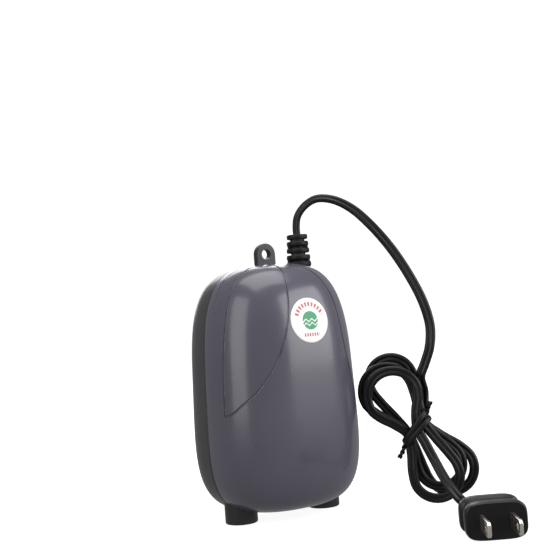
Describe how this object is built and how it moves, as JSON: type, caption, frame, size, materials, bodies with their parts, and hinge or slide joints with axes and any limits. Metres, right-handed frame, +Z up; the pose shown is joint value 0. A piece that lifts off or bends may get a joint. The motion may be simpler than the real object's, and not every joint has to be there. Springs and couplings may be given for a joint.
{
  "type": "aquarium air pump",
  "caption": "Upright twin-outlet diaphragm air pump with a two-part case, hanging tab, flat mains cord in a tied hank and a two-blade plug.",
  "frame": {"origin": "on the surface the pump stands on, under the middle of its box measured without the cord, its hank and its plug", "axes": "+Z up along the case from the outlets to the cord, -Y towards the front with the badge, +X to the side where the cord leaves"},
  "size_m": [0.1194, 0.1717, 0.1542],
  "materials": {
    "case_front": "glossy dark purple-grey moulded plastic",
    "case_rear": "satin dark grey moulded plastic",
    "badge": "printed white label",
    "black_plastic": "satin black",
    "black_rubber": "matt black",
    "cord_jacket": "semi-gloss black PVC",
    "tie": "matt black",
    "blade_metal": "nickel plated",
    "nozzle_plastic": "matt black",
    "screw_steel": "zinc plated",
    "frame_plastic": "natural ABS",
    "core_iron": "laminated electrical steel",
    "bobbin_plastic": "natural nylon",
    "copper": "enamelled copper wire",
    "magnet": "ferrite",
    "diaphragm_rubber": "soft moulded rubber",
    "chamber_plastic": "grey ABS",
    "hose_rubber": "soft silicone",
    "filter_felt": "felt"
  },
  "bodies": {
    "pump_case": {"front_shell": "case_front", "front_posts": "case_front", "rear_shell": "case_rear", "rear_posts": "case_rear", "front_badge": "badge", "hang_tab": "black_plastic", "outlet_collar_left": "black_plastic", "outlet_collar_right": "black_plastic", "plug_body": "black_plastic", "strain_relief": "black_rubber", "foot_lower_left": "black_rubber", "foot_lower_right": "black_rubber", "foot_upper_left": "black_rubber", "foot_upper_right": "black_rubber", "frame_dampers": "black_rubber", "cord_lead": "cord_jacket", "cord_hank": "cord_jacket", "cord_tail": "cord_jacket", "coil_leads": "cord_jacket", "twist_tie": "tie", "plug_blades": "blade_metal", "outlet_nozzle_left": "nozzle_plastic", "outlet_nozzle_right": "nozzle_plastic", "case_screws": "screw_steel", "frame_screws": "screw_steel", "core_screws": "screw_steel", "core_clamp": "screw_steel", "pivot_pin_left": "screw_steel", "pivot_pin_right": "screw_steel", "chamber_screws": "screw_steel", "inner_frame": "frame_plastic", "cord_clamp": "frame_plastic", "filter_holder": "frame_plastic", "magnet_core": "core_iron", "coil_bobbin": "bobbin_plastic", "coil_winding": "copper", "diaphragm_left": "diaphragm_rubber", "diaphragm_right": "diaphragm_rubber", "air_chamber_left": "chamber_plastic", "air_chamber_right": "chamber_plastic", "valve_cover_left": "chamber_plastic", "valve_cover_right": "chamber_plastic", "diaphragm_ring_left": "chamber_plastic", "diaphragm_ring_right": "chamber_plastic", "air_hose_left": "hose_rubber", "air_hose_right": "hose_rubber", "inlet_filter": "filter_felt"},
    "arm_left": {"swing_arm_left": "frame_plastic", "arm_magnet_left": "magnet", "diaphragm_screw_left": "screw_steel"},
    "inlet_valve_left": {"inlet_flap_left": "diaphragm_rubber"},
    "outlet_valve_left": {"outlet_flap_left": "diaphragm_rubber"},
    "arm_right": {"swing_arm_right": "frame_plastic", "arm_magnet_right": "magnet", "diaphragm_screw_right": "screw_steel"},
    "inlet_valve_right": {"inlet_flap_right": "diaphragm_rubber"},
    "outlet_valve_right": {"outlet_flap_right": "diaphragm_rubber"}
  },
  "joints": [
    {"name": "arm_swing_left", "type": "hinge", "parent": "pump_case", "child": "arm_left", "pos_m": [-0.008, 0.00228, 0.024], "axis": [0, 1, 0], "range_deg": [-2.5, 2.5], "stiffness_Nm_per_rad": 0.06, "deforming": ["diaphragm_left"]},
    {"name": "inlet_valve_swing_left", "type": "hinge", "parent": "pump_case", "child": "inlet_valve_left", "pos_m": [-0.0189, 0.00228, 0.0512], "axis": [0, -1, 0], "range_deg": [0, 12], "stiffness_Nm_per_rad": 0.0002},
    {"name": "outlet_valve_swing_left", "type": "hinge", "parent": "pump_case", "child": "outlet_valve_left", "pos_m": [-0.0216, 0.00228, 0.0422], "axis": [0, 1, 0], "range_deg": [0, 12], "stiffness_Nm_per_rad": 0.0002},
    {"name": "arm_swing_right", "type": "hinge", "parent": "pump_case", "child": "arm_right", "pos_m": [0.008, 0.00228, 0.024], "axis": [0, 1, 0], "range_deg": [-2.5, 2.5], "stiffness_Nm_per_rad": 0.06, "deforming": ["diaphragm_right"]},
    {"name": "inlet_valve_swing_right", "type": "hinge", "parent": "pump_case", "child": "inlet_valve_right", "pos_m": [0.0189, 0.00228, 0.0512], "axis": [0, 1, 0], "range_deg": [0, 12], "stiffness_Nm_per_rad": 0.0002},
    {"name": "outlet_valve_swing_right", "type": "hinge", "parent": "pump_case", "child": "outlet_valve_right", "pos_m": [0.0216, 0.00228, 0.0422], "axis": [0, -1, 0], "range_deg": [0, 12], "stiffness_Nm_per_rad": 0.0002}
  ],
  "couplings": [
    {"joint": "arm_swing_right", "follows": "arm_swing_left", "ratio": -1}
  ]
}
